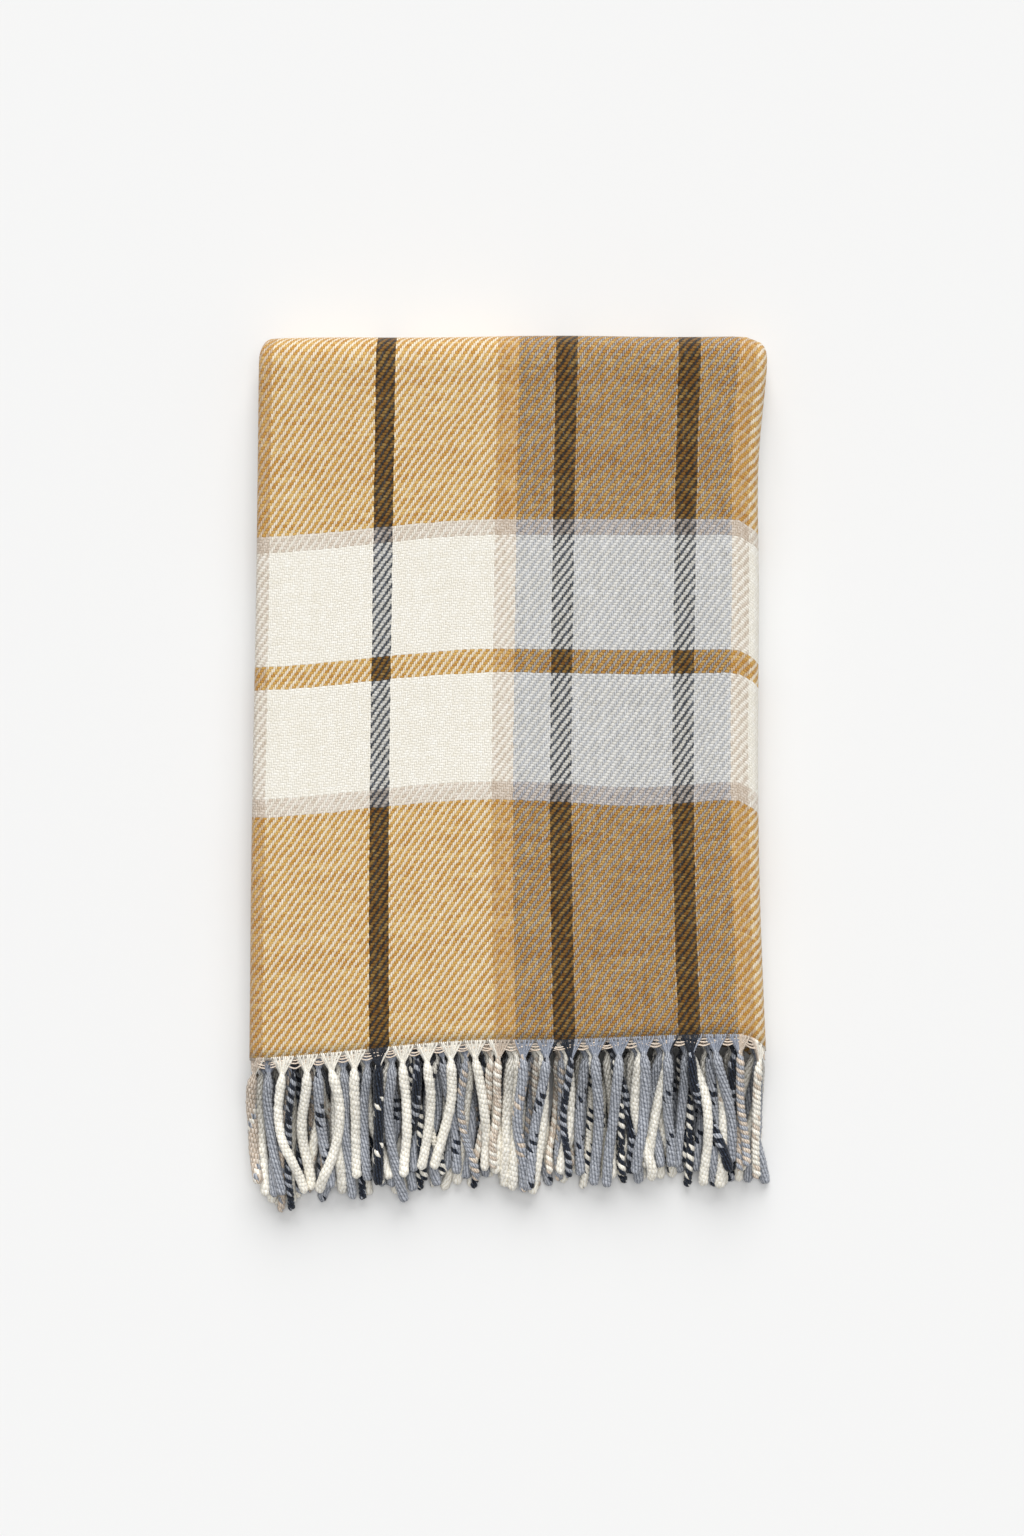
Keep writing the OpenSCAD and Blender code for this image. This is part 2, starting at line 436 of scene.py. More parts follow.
def woolShader(tree, colour, height, distance):
    shader = tree.nodes["Principled BSDF"]
    feed(tree, shader.inputs["Base Color"], colour)
    shader.inputs["Roughness"].default_value = wool["roughness"]
    shader.inputs["Specular IOR Level"].default_value = wool["specular"]
    shader.inputs["Sheen Weight"].default_value = wool["sheen"]
    shader.inputs["Sheen Roughness"].default_value = wool["sheenRoughness"]
    bump = put(tree, "ShaderNodeBump")
    bump.inputs["Strength"].default_value = 1.0
    bump.inputs["Distance"].default_value = distance
    feed(tree, bump.inputs["Height"], height)
    tree.links.new(bump.outputs[0], shader.inputs["Normal"])


def newMaterial(name):
    made = bpy.data.materials.new(name)
    made.use_nodes = True
    return made, made.node_tree


def brightness(tree, colour):
    made = put(tree, "ShaderNodeRGBToBW")
    feed(tree, made.inputs[0], colour)
    return made.outputs[0]


def deepened(tree, colour, power):
    # a power tells on the dark yarns and leaves the cream ones even
    made = put(tree, "ShaderNodeGamma")
    feed(tree, made.inputs["Color"], colour)
    feed(tree, made.inputs["Gamma"], power)
    return made.outputs[0]


def scaled(tree, colour, factor):
    made = put(tree, "ShaderNodeVectorMath", operation="SCALE")
    feed(tree, made.inputs[0], colour)
    feed(tree, made.inputs["Scale"], factor)
    return made.outputs[0]


twill = {
    "yarnStray": 1.6,               # millimetres
    "fibreStray": 0.75,
    "warpRound": 5.5,               # how quickly a yarn falls away at its sides
    "weftRound": 4.0,
    "darkCovered": 0.3,
    "navyCovered": 0.15,
    "yarnDepth": (0.9, 1.08),       # powers of colour, from yarn to yarn
    "floatDepth": (-0.17, 0.15),    # from float to float
    "streakDepth": (-0.22, 0.24),
    "cloudDepth": (-0.03, 0.03),
    "nap": (0.2, 0.58),             # share of brushed fibres over the weave
    "valleyShade": 1.42,                 # painted shade: power of colour between the yarns
    "greyValleyShade": 0.5,              # and this much more beside grey ones
    # painted light: power of colour on the crests of the yarns, the other end of the valley shade
    "ridge": 0.95,
    "relief": 0.5 * mm,
}


def brushedTwill():
    made, tree = newMaterial("brushedTwill")
    uv = put(tree, "ShaderNodeUVMap", uv_map="cloth")
    parts = put(tree, "ShaderNodeSeparateXYZ")
    tree.links.new(uv.outputs[0], parts.inputs[0])
    x = calc(tree, "MULTIPLY", parts.outputs[0], 1000)      # millimetres across the flat cloth
    y = calc(tree, "MULTIPLY", parts.outputs[1], 1000)      # and along it
    flat = vectorOf(tree, x, y)

    # yarns wander a little, and their fibres more
    drift = noise(tree, flat, 0.11, 2).outputs["Color"]
    fibre = noise(tree, flat, 1.1, 3, 0.6).outputs["Color"]
    driftParts, fibreParts = put(tree, "ShaderNodeSeparateColor"), put(tree, "ShaderNodeSeparateColor")
    tree.links.new(drift, driftParts.inputs[0])
    tree.links.new(fibre, fibreParts.inputs[0])

    def wander(value, channel):
        big = calc(tree, "SUBTRACT", driftParts.outputs[channel], 0.5)
        small = calc(tree, "SUBTRACT", fibreParts.outputs[channel], 0.5)
        return calc(tree, "ADD", value, calc(
            tree, "ADD", calc(tree, "MULTIPLY", big, twill["yarnStray"]),
            calc(tree, "MULTIPLY", small, twill["fibreStray"])))

    endPlace = calc(tree, "DIVIDE", calc(tree, "SUBTRACT", wander(x, 0), weave["stripeStart"] * 1000),
                    weave["endPitch"] * 1000)
    pickPlace = calc(tree, "DIVIDE", wander(y, 1), weave["pickPitch"] * 1000)
    end, pick = calc(tree, "FLOOR", endPlace), calc(tree, "FLOOR", pickPlace)
    inEnd = calc(tree, "SUBTRACT", calc(tree, "FRACT", endPlace), 0.5)
    inPick = calc(tree, "SUBTRACT", calc(tree, "FRACT", pickPlace), 0.5)

    # two over, two under: each thread rides up and down like a wave, and the higher one shows
    quarter = 2 * math.pi / 4
    warpWave = calc(tree, "COSINE", calc(tree, "MULTIPLY", calc(tree, "SUBTRACT", pickPlace, end), quarter))
    weftWave = calc(tree, "COSINE", calc(tree, "MULTIPLY", calc(
        tree, "SUBTRACT", calc(tree, "ADD", pick, 1.0), endPlace), quarter))
    warpRound = calc(tree, "MULTIPLY", calc(tree, "MULTIPLY", inEnd, inEnd), twill["warpRound"])
    weftRound = calc(tree, "MULTIPLY", calc(tree, "MULTIPLY", inPick, inPick), twill["weftRound"])
    warpHeight = calc(tree, "SUBTRACT", warpWave, warpRound)
    weftHeight = calc(tree, "SUBTRACT", calc(tree, "MULTIPLY", weftWave, -1), weftRound)
    height = calc(tree, "MAXIMUM", warpHeight, weftHeight)

    # the weft covers a little more of the grey and navy yarns
    warpColour = stripes(tree, end, weave["ends"])
    warpLight = brightness(tree, warpColour)
    darkWarp = ranged(tree, warpLight, 0.3, 0.55, 1.0, 0.0)     # grey or navy
    navyWarp = ranged(tree, warpLight, 0.02, 0.2, 1.0, 0.0)
    greyWarp = calc(tree, "SUBTRACT", darkWarp, navyWarp)
    covered = calc(tree, "ADD", calc(tree, "MULTIPLY", darkWarp, twill["darkCovered"]),
                   calc(tree, "MULTIPLY", navyWarp, twill["navyCovered"]))
    over = calc(tree, "SUBTRACT", calc(tree, "SUBTRACT", warpHeight, weftHeight), covered)
    warpShows = ranged(tree, over, -0.1, 0.7)

    fromHem = calc(tree, "SUBTRACT", pick, weave["hemPicks"])
    weftColour = stripes(tree, fromHem, weave["picks"])
    lastPick = round(cloth["flatLength"] / weave["pickPitch"]) - weave["hemPicks"]
    firstHem, lastHem = calc(tree, "LESS_THAN", fromHem, 0), calc(tree, "GREATER_THAN", pick, lastPick)
    atHem = calc(tree, "MAXIMUM", firstHem, lastHem)
    weftColour = mixed(tree, atHem, weftColour, yarnColours["beige"])

    # each yarn and each float has its own depth of colour, and streaks along it
    cloudy = ranged(tree, noise(tree, flat, 0.07, 2).outputs["Fac"], 0.3, 0.7, *twill["cloudDepth"])

    def heathered(colour, thread, floatNumber, streak, seed):
        own = put(tree, "ShaderNodeTexWhiteNoise", noise_dimensions="2D")
        feed(tree, own.inputs["Vector"], vectorOf(tree, thread, seed))
        single = put(tree, "ShaderNodeTexWhiteNoise", noise_dimensions="3D")
        feed(tree, single.inputs["Vector"], vectorOf(tree, thread, floatNumber, seed))
        yarnPower = ranged(tree, own.outputs["Value"], 0, 1, *twill["yarnDepth"])
        floatPower = ranged(tree, single.outputs["Value"], 0, 1, *twill["floatDepth"])
        streaky = noise(tree, streak, 1.0, 3, 0.65).outputs["Fac"]
        streakPower = ranged(tree, streaky, 0.25, 0.75, *twill["streakDepth"])
        return deepened(tree, colour, calc(
            tree, "ADD", calc(tree, "ADD", yarnPower, cloudy), calc(tree, "ADD", floatPower, streakPower)))

    warpFloat = calc(tree, "FLOOR", calc(tree, "DIVIDE", calc(tree, "SUBTRACT", pickPlace, end), 4))
    weftFloat = calc(tree, "FLOOR", calc(tree, "DIVIDE", calc(tree, "SUBTRACT", endPlace, pick), 4))
    warpColour = heathered(warpColour, end, warpFloat, vectorOf(
        tree, calc(tree, "MULTIPLY", x, 3.0), calc(tree, "MULTIPLY", y, 0.5)), 3.0)
    weftColour = heathered(weftColour, pick, weftFloat, vectorOf(
        tree, calc(tree, "MULTIPLY", x, 0.5), calc(tree, "MULTIPLY", y, 3.0), 7.0), 8.0)
    # navy fibres dull the ochre that crosses them, and the cream hardly at all
    weftLight = brightness(tree, weftColour)
    dulling = calc(tree, "MULTIPLY", navyWarp, ranged(tree, weftLight, 0.25, 0.7, 0.4, 0.0))
    weftColour = scaled(tree, weftColour, calc(tree, "SUBTRACT", 1.0, dulling))
    colour = mixed(tree, warpShows, weftColour, warpColour)
    # brushed fibres of both yarns lie over the weave, and the darker ones tell more
    both = put(tree, "ShaderNodeVectorMath", operation="MULTIPLY")
    feed(tree, both.inputs[0], weftColour)
    feed(tree, both.inputs[1], warpColour)
    nap = deepened(tree, both.outputs[0], 0.5)
    napShare = ranged(tree, noise(tree, flat, 0.7, 3, 0.65).outputs["Fac"], 0.3, 0.7, *twill["nap"])
    napShare = calc(tree, "ADD", napShare, calc(tree, "MULTIPLY", darkWarp, 0.04))
    colour = mixed(tree, napShare, colour, nap)
    # grey and cream blur into each other most
    blur = calc(tree, "MULTIPLY", greyWarp, ranged(tree, weftLight, 0.4, 0.7, 0.0, 0.5))
    colour = mixed(tree, blur, colour, mixed(tree, 0.43, weftColour, warpColour))
    # painted shade: the valleys between the yarns are darkened, by a power of the colour and by a factor,
    # and the crests are a little lighter
    valleyShadePower = calc(tree, "ADD", twill["valleyShade"], calc(tree, "MULTIPLY", greyWarp, twill["greyValleyShade"]))
    colour = deepened(tree, colour, ranged(tree, height, -0.6, 0.5, valleyShadePower, twill["ridge"]))
    colour = scaled(tree, colour, ranged(tree, height, -0.6, 0.7, 0.9, 1.03))
    fuzz = noise(tree, flat, 5.0, 2, 0.6).outputs["Fac"]
    relief = calc(tree, "ADD", calc(tree, "MULTIPLY", height, 0.3), calc(tree, "MULTIPLY", fuzz, 0.3))
    woolShader(tree, colour, relief, twill["relief"])
    return made


clothMaterial = brushedTwill()
plaidCloth = clothPiece(clothMaterial)
print("cloth folded:", len(plaidCloth.data.polygons), "squares")

fringe = {
    "perRow": 21,
    "yarns": 12,                # warp yarns gathered into one tassel
    "yarnShift": 9.6 * mm,      # how far across the cloth they lie from their place in the row
    "topStart": 23.4 * mm,      # first tassel of the top row, from the left fold
    "topPitch": 15.0 * mm,
    "neckOut": 7.6 * mm,        # from the hem to where the yarns are gathered
    "neckLength": 9 * mm,       # over which the tassel swells to its full thickness
    "helix": 0.95 * mm,         # a strand's distance from the middle of its tassel
    "strand": 2.2 * mm,         # its radius
    "twist": 6.4 * mm,          # one turn
    "dim": (0.0, 0.17, 0.42, 0.54),     # painted shade: how much darker each row is made under the hem, where less light gets
    "dimLength": 72 * mm,
    "nodes": 26,                # balls in the chain that a tassel settles as
    "seed": 11,
}
# the top row from left to right, in millimetres: how far each tip lies aside of its root,
# how far the middle bows, and how far the tip reaches from the hem
tipSway = (13, 1, -9, 0, -1, 0, -4, -11, 6, -3, 1, -11, -1, 0, -7, -4, 4, 26, 11, 6, 0)
midBow = (-7, -4, 9, 0, 0, 3, 4, 3, 5, -1, -3, -3, -4, 3, -1, 3, 0, 0, 6, 0, -2)
tipReach = (89, 89, 91, 83, 88, 84, 81, 82, 85, 82, 100, 97, 90, 96, 98, 89, 86, 88, 83, 84, 89)
random = np.random.default_rng(fringe["seed"])


def endColour(s):
    # the colour of the warp yarn at one distance across the flat cloth
    number = int((s - weave["stripeStart"]) // weave["endPitch"]) % sum(n for n, c in weave["ends"])
    for count, colour in weave["ends"]:
        if number < count:
            return colour
        number -= count


def withinCloth(s, margin):
    return min(max(s, across[-1] + margin), across[0] - margin)


def rowPlace(row, k):
    # where a tassel's middle yarn lies across the flat cloth
    if row == 1:
        return fringe["topStart"] + k * fringe["topPitch"]
    if row == 2 and k == 0:
        return 4.8 * mm         # the beige one at the fold itself
    x = -halfWidth + (k + 0.5) * foldedWidth / fringe["perRow"]
    layer = row - 1 if row <= 4 else 8 - row        # the lower panel lies face down
    inLayer = (x + halfWidth, -x - halfWidth, x - 3 * halfWidth, 3 * halfWidth - x)
    return withinCloth(inLayer[layer] + fringe["yarnShift"], 3 * mm)


class Tassel:
    def __init__(self, row, k):
        self.row, self.k = row, k
        self.s = rowPlace(row, k)
        middle = (fringe["yarns"] - 1) / 2
        self.yarnS = [withinCloth(self.s + (i - middle) * weave["endPitch"], 0.5 * mm)
                      for i in range(fringe["yarns"])]
        self.yarns = [endColour(s) for s in self.yarnS]
        quarter = foldedWidth / fringe["perRow"] / 4
        sides = [endColour(self.s - quarter), endColour(self.s + quarter)]
        self.shade = "navy" if "navy" in sides else "grey" if "grey" in sides else "pale"
        self.root = settle(onCloth(np.array([self.s]), row, fringe["neckOut"]))[0]


def plannedPath(tassel):
    # seen from above: from the neck to the tip, with a bow in the middle
    count = fringe["nodes"]
    t = np.linspace(0, 1, count)
    k = tassel.k
    if tassel.row == 1:
        sway, bow, reach = tipSway[k], midBow[k], tipReach[k]
    elif tassel.row == 2 and k == 0:
        sway, bow, reach = 2, -3, 80
    else:
        sway, bow = random.normal(0, 6.5), random.normal(0, 4.5)
        reach = random.uniform(86, 105) - 0.7 * (tassel.row - 1)
        # the outermost ones turn inwards
        atSide = max(0, abs(tassel.root[0]) / halfWidth - 0.9)
        sway -= 80 * atSide * np.sign(tassel.root[0])
        reach -= 70 * atSide
    x = tassel.root[0] + mm * (sway * smooth(t) * t ** 0.5 + bow * np.sin(math.pi * t) ** 1.5)
    x += mm * random.normal(0, 0.8) * np.sin(3 * math.pi * t)
    y = tassel.root[1] - (reach * mm - fringe["neckOut"]) * t
    return np.stack([x, y, np.zeros(count)], axis=1)


settling = {
    "steps": 260,
    "hold": (0.10, 0.045, 0.02),    # how firmly the top row, the second and the rest keep to plan
    "keepSpeed": 0.8,
    "fall": 0.02 * mm,              # gravity, for each step
    "stiffness": 0.16,
    "push": 0.42,                   # share of an overlap taken back at once
    "mostPush": 0.6 * mm,
    "rowRise": 2.3 * mm,            # how much higher each row comes to lie than the one below
}


def dropTassels(tassels):
    # chains of little balls: pulled down, held to their plan from above, kept from sharing space
    count = fringe["nodes"]
    radius = fringe["helix"] + fringe["strand"] * 0.92
    plan = np.stack([plannedPath(t) for t in tassels])
    fall = np.array([t.root[2] for t in tassels]) - radius
    landed = np.array([(rows[-1] - t.row) * settling["rowRise"] for t in tassels])
    descent = (1 - smooth(np.linspace(0, 1, count) * 1.15)) ** 1.1
    points = plan.copy()
    points[..., 2] = (radius + landed)[:, None] + (fall - landed)[:, None] * descent + 0.2 * mm
    rest = np.linalg.norm(np.diff(points, axis=1), axis=2)
    start = points.copy()
    speed = np.zeros_like(points)
    hold = np.array([settling["hold"][min(t.row, 3) - 1] for t in tassels])[:, None, None]
    chain = np.repeat(np.arange(len(tassels)), count)
    inChain = np.tile(np.arange(count), len(tassels))
    size = np.where(inChain < 3, radius * (0.45 + 0.18 * inChain), radius)
    nearY = np.array([settle(np.array([[t.root[0], nearCentreY, nearRadius]]))[0, 1] for t in tassels])
    clearOfFold = nearRadius + radius + 0.6 * mm
    for step in range(settling["steps"]):
        before = points.copy()
        points += speed * settling["keepSpeed"]
        points[:, 2:, 2] -= settling["fall"]
        points[:, 2:, :2] += hold * (plan[:, 2:, :2] - points[:, 2:, :2])
        for again in range(2):
            smoother = (points[:, 1:-2] + points[:, 3:]) / 2 - points[:, 2:-1]
            points[:, 2:-1] += settling["stiffness"] * smoother
            for i in range(1, count - 1):
                gap = points[:, i + 1] - points[:, i]
                length = np.linalg.norm(gap, axis=1, keepdims=True)
                points[:, i + 1] -= gap * (1 - rest[:, i:i + 1] / length) * (1.0 if i == 1 else 0.75)
        flat = points.reshape(-1, 3)
        if step % 8 == 0:
            places = flat.tolist()
            tree = KDTree(len(places))
            for i, place in enumerate(places):
                tree.insert(place, i)
            tree.balance()
            pairs = [(i, j) for i, place in enumerate(places)
                     for found, j, distance in tree.find_range(place, 2.5 * radius)
                     if j > i and chain[i] != chain[j]]
            first, second = np.array(pairs).T
            room = size[first] + size[second]
        for again in range(2):
            gap = flat[second] - flat[first]
            length = np.linalg.norm(gap, axis=1)
            push = np.clip(room - length, 0, None) * settling["push"] / np.maximum(length, 1e-6)
            move = gap * push[:, None]
            change = np.zeros_like(flat)
            for axis in range(3):
                change[:, axis] = (np.bincount(second, move[:, axis], len(flat))
                                   - np.bincount(first, move[:, axis], len(flat)))
            flat += np.clip(change, -settling["mostPush"], settling["mostPush"])
        points = flat.reshape(points.shape)
        # the rounded near fold beneath, and the floor
        awayY, awayZ = points[..., 1] - nearY[:, None], points[..., 2] - nearRadius
        distance = np.hypot(awayY, awayZ)
        inFold = (points[..., 2] < 2 * nearRadius + radius) & (awayY < 0) & (distance < clearOfFold)
        scale = np.where(inFold, clearOfFold / np.maximum(distance, 1e-6), 1)
        points[..., 1] = nearY[:, None] + awayY * scale
        points[..., 2] = np.maximum(nearRadius + awayZ * scale, radius + 0.1 * mm)
        points[:, :2] = start[:, :2]
        speed = points - before
    eased = points.copy()
    for again in range(3):
        eased[:, 1:-1] = eased[:, 1:-1] / 2 + (eased[:, :-2] + eased[:, 2:]) / 4
    return eased


def acrossLine(line):
    # at each point of a line, the way to its side and the way up from it
    way = np.gradient(line, axis=0)
    way /= np.linalg.norm(way, axis=1, keepdims=True)
    side = np.cross(way, (0, 0, 1))
    side /= np.linalg.norm(side, axis=1, keepdims=True)
    return side, np.cross(side, way)


def lengthAlong(line):
    return np.concatenate([[0], np.cumsum(np.linalg.norm(np.diff(line, axis=0), axis=1))])


def tube(line, radius, sides):
    # rings round a line, closed flat at both ends; the number of sides is even
    side, rise = acrossLine(line)
    angle = np.arange(sides) * 2 * math.pi / sides
    ring = np.cos(angle)[None, :, None] * side[:, None] + np.sin(angle)[None, :, None] * rise[:, None]
    points = line[:, None] + ring * np.broadcast_to(radius, len(line))[:, None, None]
    index = np.arange(len(line) * sides).reshape(len(line), sides)
    beside = np.roll(index, -1, axis=1)
    faces = np.stack([index[:-1], beside[:-1], beside[1:], index[1:]], axis=-1).reshape(-1, 4)
    # each corner has its own texture place, so that the last face closes the turn
    along = lengthAlong(line)
    left, low = np.meshgrid(np.arange(sides) / sides, along[:-1])
    right, high = np.meshgrid(np.arange(1, sides + 1) / sides, along[1:])
    uv = np.stack([np.stack([left, right, right, left], axis=-1),
                   np.stack([low, low, high, high], axis=-1)], axis=-1).reshape(-1, 4, 2)
    caps = [(ends[i], ends[i + 1], ends[sides - 2 - i], ends[sides - 1 - i])
            for ends in (index[0][::-1], index[-1]) for i in range(sides // 2 - 1)]
    uv = np.concatenate([uv, np.zeros((len(caps), 4, 2))])
    return points.reshape(-1, 3), np.concatenate([faces, caps]), uv, np.repeat(along, sides)


class Bundle:
    # gathers many yarns into one mesh, each with its colours
    def __init__(self):
        self.points, self.faces, self.uv, self.tint, self.fleck = [], [], [], [], []
        self.count = 0

    def add(self, made, tint, fleck=None, share=0.0, shade=1.0):
        points, faces, uv, along = made
        # painted shade: a factor for each point that darkens both colours
        shade = np.broadcast_to(shade, len(points))[:, None]
        full = np.ones((len(points), 1))
        self.points.append(points)
        self.faces.append(faces + self.count)
        self.uv.append(uv)
        fleck = tint if fleck is None else fleck
        self.tint.append(np.hstack([np.array(tint) * shade, full]))
        self.fleck.append(np.hstack([np.array(fleck) * shade, full * share]))
        self.count += len(points)

    def piece(self, name, material, node, slot):
        thing = meshObject(name, np.concatenate(self.points), np.concatenate(self.faces),
                           np.concatenate(self.uv), material)
        for title, values in (("tint", self.tint), ("fleck", self.fleck)):
            layer = thing.data.attributes.new(title, "FLOAT_COLOR", "POINT")
            layer.data.foreach_set("color", np.concatenate(values).astype(np.float32).ravel())
        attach(thing, "upper_half")
        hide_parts(node)
        return thing


def longLine(points, count):
    # the settled chain, drawn finer with a smooth curve through its balls
    along = lengthAlong(points)
    at = np.linspace(0, along[-1], count)
    slope = np.gradient(points, along, axis=0)
    i = np.clip(np.searchsorted(along, at, side="right") - 1, 0, len(points) - 2)
    gap = (along[i + 1] - along[i])[:, None]
    t = ((at - along[i])[:, None]) / gap
    line = ((2 * t ** 3 - 3 * t ** 2 + 1) * points[i] + (t ** 3 - 2 * t ** 2 + t) * gap * slope[i]
            + (3 * t ** 2 - 2 * t ** 3) * points[i + 1] + (t ** 3 - t ** 2) * gap * slope[i + 1])
    return line, at


def rowShade(row, along):
    # painted shade: the lower rows are darkened under the hem, where little light reaches
    return 1 - fringe["dim"][min(row, 4) - 1] * (1 - smooth(along / fringe["dimLength"]))


def strandColours(yarns, depth):
    names = sorted(set(yarns), key=lambda c: (-yarns.count(c), yarns.index(c)))
    found = [np.array(yarnColours[name]) * depth for name in names]
    # fluffed out, the grey looks paler and less blue
    found = [c * (1.06, 1.02, 0.95) if name == "grey" else c for c, name in zip(found, names)]
    if len(names) == 1:
        return found[0], None, 0.0
    return found[0], found[1], yarns.count(names[1]) / len(yarns)


# how far a strand lies from the middle and how thick it is, times the usual:
# two colours show the twist, and the cream ones are felted nearly round
plump = {"striped": (1.05, 0.8), "pale": (0.6, 1.27), "plain": (0.9, 1.16)}


def twistTassel(bundle, tassel, chain):
    fine = tassel.row <= 2
    line, at = longLine(chain, 150 if fine else 96)
    side, rise = acrossLine(line)
    depth = random.uniform(1.02, 1.13)
    turn = random.uniform(0, 2 * math.pi) + at * 2 * math.pi / (fringe["twist"] * random.uniform(0.88, 1.14))
    grow = smooth(at / fringe["neckLength"])        # the neck is thin where the yarns are gathered
    full = random.uniform(0.93, 1.07)
    share = fringe["yarns"] // 2
    halves = [strandColours(yarns, depth) for yarns in (tassel.yarns[:share], tassel.yarns[share:])]
    striped = bool(np.any(halves[0][0] != halves[1][0]))
    helix, thick = plump["striped" if striped else "pale" if tassel.shade == "pale" else "plain"]
    # the strands open a little at the tip, and each ends rounded
    loosen = 1 + 0.15 * smooth((at - at[-1] + 5 * mm) / (5 * mm))
    away = fringe["helix"] * helix * full * (0.35 + 0.65 * grow) * loosen
    tip = np.sqrt(np.clip((at[-1] - at) / (2.6 * mm), 0.06, 1))
    for half, (tint, fleck, flecked) in enumerate(halves):
        a = turn + math.pi * half
        strand = line + (np.cos(a)[:, None] * side + np.sin(a)[:, None] * rise) * away[:, None]
        uneven = np.interp(at, np.linspace(0, at[-1], 34), random.normal(0, 1, 34))
        radius = fringe["strand"] * thick * full * (0.5 + 0.5 * grow) * tip * (1 + 0.045 * uneven)
        strand[:, 2] = np.maximum(strand[:, 2], radius + 0.05 * mm)
        cut = len(line) - random.integers(0, 2)
        made = tube(strand[:cut], radius[:cut], 8 if fine else 6)
        bundle.add(made, tint, fleck, flecked, rowShade(tassel.row, made[3]))


fan = {
    "from": -2.1 * mm,          # where a yarn comes out of the cloth, from the hem
    "bend": 0.8 * mm,           # and where it turns towards the neck
    "raised": (0.75 * mm, 0.7 * mm),        # those two places in the top row, over the loose edge
    "spread": 1.6 * mm,         # the yarns lie at mixed heights
    "neckPitch": 0.13 * mm,
    "radius": (0.6 * mm, 0.8 * mm),         # in the upper two rows, and in the rest
}


def fanYarns(bundle, tassel, chain):
    # single warp yarns leave the hem and gather into the neck, every second one in the lower rows
    fine = tassel.row <= 2
    yarns = fringe["yarns"]
    t = np.linspace(0, 1, 6)[:, None]
    for i in range(0, yarns, 1 if fine else 2):
        s = np.array([tassel.yarnS[i]])
        start = settle(onCloth(s, tassel.row, fan["from"]))[0]
        bend = settle(onCloth(s, tassel.row, fan["bend"]))[0]
        if tassel.row == 1:
            start[2] += fan["raised"][0]
            bend[2] += fan["raised"][1]
        fromMiddle = i - (yarns - 1) / 2
        level = ((i * 5) % yarns - (yarns - 1) / 2) / yarns * fan["spread"]
        end = chain[1] + (chain[1] - chain[0]) * 0.2 + (fromMiddle * fan["neckPitch"], 0, level * 0.6)
        gather = chain[0] * 0.75 + bend * 0.25
        line = ((1 - t) ** 3 * start + 3 * t * (1 - t) ** 2 * bend + 3 * t ** 2 * (1 - t) * gather
                + t ** 3 * end)
        line[:, 2] += level * np.sin(math.pi * t[:, 0]) ** 0.5
        thick = fan["radius"][0 if fine else 1] * random.uniform(0.9, 1.12)
        # painted light: each yarn is made lighter than its yarn colour, against the shade among the thin
        # yarns; the amount varies at random
        colour = np.array(yarnColours[tassel.yarns[i]]) * random.uniform(1.02, 1.2)
        bundle.add(tube(line, thick, 6), colour, shade=rowShade(tassel.row, 0.0))


wefts = {
    "count": 3,
    "radius": 0.48 * mm,
    "first": 0.5 * mm,          # the first one's place, from the hem
    "pitch": 1.1 * mm,
    "bowOut": 0.4 * mm,         # further out between the fans
    "bowPitch": 1.0 * mm,       # and this much more for each next one
    "wobble": 0.35 * mm,
    "lift": 0.45 * mm,          # they ride over and under the yarns
    "topRaised": 0.35 * mm,
    "overhang": 7.5 * mm,       # past the outermost tassels
    "halfSpan": 7.7 * mm,       # from a fan to the middle between two
    "waves": 640,               # in how many radians to a metre they ride
}


def looseWefts(bundle, row):
    # the last beige threads, held at every fan and bowed out between
    middles = np.array(sorted(t.s for t in tassels if t.row == row))
    low = withinCloth(middles[0] - wefts["overhang"], 1 * mm)
    high = withinCloth(middles[-1] + wefts["overhang"], 1 * mm)
    s = np.linspace(low, high, 240 if row <= 2 else 120)
    nearest = np.min(np.abs(s[:, None] - middles[None, :]), axis=1)
    between = smooth(nearest / wefts["halfSpan"])
    for i in range(wefts["count"]):
        lift = wefts["lift"] * np.sin(s * wefts["waves"] + i * 2.1)
        wobble = wefts["wobble"] * np.interp(s, np.linspace(low, high, 40), random.normal(0, 1, 40))
        bow = between * (wefts["bowOut"] + wefts["bowPitch"] * i)
        line = settle(onCloth(s, row, wefts["first"] + wefts["pitch"] * i + bow + wobble))
        line[:, 2] += lift * (1 - between * 0.5) + (wefts["topRaised"] if row == 1 else 0)
        # painted light: the loose wefts are made much lighter than the beige, against the shade they lie in
        # at the hem
        colour = np.array(yarnColours["beige"]) * random.uniform(1.35, 1.55)
        bundle.add(tube(line, wefts["radius"], 6), colour)


spun = {
    "yarns": 6,             # in each strand
    "lay": 0.14,            # by how many places they wind round in a millimetre
    "furrows": 7,           # round a strand
    "furrowLay": 0.42,
    "relief": 0.45 * mm,
}


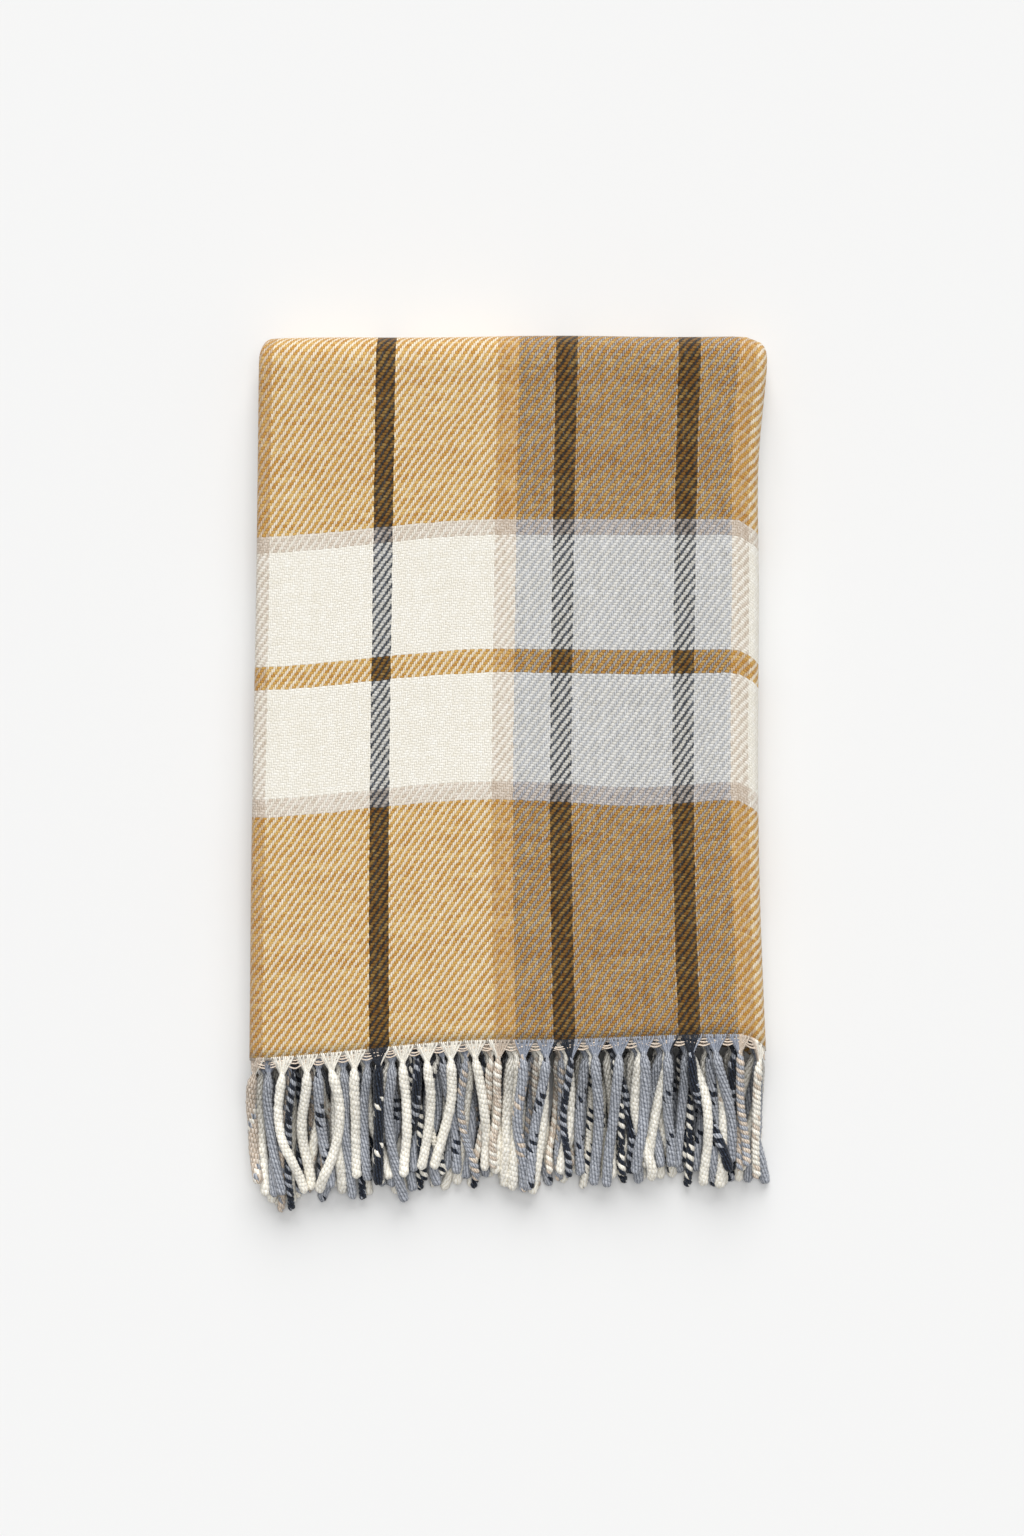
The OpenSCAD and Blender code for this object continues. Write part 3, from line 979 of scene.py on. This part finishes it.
def twistedWool():
    made, tree = newMaterial("twistedWool")
    uv = put(tree, "ShaderNodeUVMap", uv_map="cloth")
    parts = put(tree, "ShaderNodeSeparateXYZ")
    tree.links.new(uv.outputs[0], parts.inputs[0])
    around, along = parts.outputs[0], calc(tree, "MULTIPLY", parts.outputs[1], 1000)
    tint = put(tree, "ShaderNodeAttribute", attribute_name="tint")
    fleck = put(tree, "ShaderNodeAttribute", attribute_name="fleck")

    def wound(places, lay):
        return calc(tree, "ADD", calc(tree, "MULTIPLY", around, places), calc(tree, "MULTIPLY", along, lay))

    # the yarns of a second colour wind round among the rest
    yarn = calc(tree, "FLOORED_MODULO", wound(spun["yarns"], spun["lay"]), spun["yarns"])
    isFleck = calc(tree, "LESS_THAN", yarn, calc(tree, "MULTIPLY", fleck.outputs["Alpha"], spun["yarns"]))
    colour = mixed(tree, isFleck, tint.outputs["Color"], fleck.outputs["Color"])
    inFurrow = calc(tree, "SUBTRACT", calc(tree, "FRACT", wound(spun["furrows"], spun["furrowLay"])), 0.5)
    ridge = calc(tree, "SUBTRACT", 1, calc(tree, "MULTIPLY", calc(tree, "MULTIPLY", inFurrow, inFurrow), 4))
    place = put(tree, "ShaderNodeTexCoord")
    fibre = noise(tree, place.outputs["Object"], 700, 3, 0.65).outputs["Fac"]
    patch = noise(tree, place.outputs["Object"], 260, 3, 0.6).outputs["Fac"]
    # painted shade: the furrows are darker in colour, and the ridges a little lighter; fibres and patches
    # vary in tone at random
    fibrePower = ranged(tree, fibre, 0.25, 0.75, 1.34, 0.74)
    furrowShadePower = ranged(tree, ridge, 0, 1, 1.62, 0.78)
    colour = deepened(tree, colour, calc(tree, "MULTIPLY", fibrePower, furrowShadePower))
    patchLevel = ranged(tree, patch, 0.3, 0.7, 0.9, 1.12)
    furrowShadeLevel = ranged(tree, ridge, 0, 1, 0.9, 1.05)
    colour = scaled(tree, colour, calc(tree, "MULTIPLY", patchLevel, furrowShadeLevel))
    relief = calc(tree, "ADD", calc(tree, "MULTIPLY", ridge, 0.35), calc(tree, "MULTIPLY", fibre, 0.6))
    woolShader(tree, colour, relief, spun["relief"])
    return made


tassels = [Tassel(row, k) for row in rows for k in range(fringe["perRow"])]
chains = dropTassels(tassels)
print("fringe settled:", len(tassels), "tassels")

woolMaterial = twistedWool()
fringePieces = []
for row in rows:
    made = []
    for shade, slotName in zip(shades, ("cream_wool", "grey_wool", "navy_wool")):
        bundle = Bundle()
        for tassel, chain in zip(tassels, chains):
            if tassel.row == row and tassel.shade == shade:
                twistTassel(bundle, tassel, chain)
                fanYarns(bundle, tassel, chain)
        made.append(bundle.piece(f"{shade}Tassels_{row}", woolMaterial,
                                 f"{shade}_tassels_{row}", slotName))
    bundle = Bundle()
    looseWefts(bundle, row)
    made.append(bundle.piece(f"hemWefts_{row}", woolMaterial, f"hem_wefts_{row}", "beige_wool"))
    # each piece gets a mesh of its own
    for piece in made:
        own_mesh(piece)
    fringePieces += made
print("fringe made:", len(fringePieces), "pieces")

view = {
    "height": 1.9,          # camera above the floor
    "spanY": 0.9807,        # what the frame's long side takes in, at the top of the stack
    "floor": (0.79, 0.79, 0.785, 1),
    "fill": 0.265,
    # where each light comes from, how wide it is in degrees, and its strength
    "lights": {"window": ((0.03, 1.0, 0.72), 46, 2.7), "skylight": ((0.05, 0.1, 1.0), 36, 1.28)},
}


def studio():
    bpy.ops.mesh.primitive_plane_add(size=6)
    floor = bpy.context.object
    floor.name = "floor"
    paper, tree = newMaterial("palePaper")
    shader = tree.nodes["Principled BSDF"]
    shader.inputs["Base Color"].default_value = view["floor"]
    shader.inputs["Roughness"].default_value = 0.9
    shader.inputs["Specular IOR Level"].default_value = 0.2
    floor.data.materials.append(paper)

    scene = bpy.context.scene
    scene.world = bpy.data.worlds.new("studio")
    scene.world.use_nodes = True
    back = scene.world.node_tree.nodes["Background"]
    back.inputs[0].default_value = (0.985, 0.99, 1.0, 1)
    back.inputs[1].default_value = view["fill"]
    scene.view_settings.view_transform = "Standard"

    for name, (place, spread, power) in view["lights"].items():
        lamp = bpy.data.lights.new(name, "SUN")
        lamp.angle = math.radians(spread)
        lamp.energy = power
        holder = bpy.data.objects.new(name, lamp)
        holder.location = place
        holder.rotation_euler = (-Vector(place)).to_track_quat("-Z", "Y").to_euler()
        scene.collection.objects.link(holder)

    camera = bpy.data.objects.new("camera", bpy.data.cameras.new("camera"))
    camera.location = (0, 0, view["height"])
    sensor = camera.data.sensor_width
    camera.data.lens = sensor * (view["height"] - stackHeight) / view["spanY"]
    camera.data.clip_end = 20
    scene.collection.objects.link(camera)
    scene.camera = camera


studio()
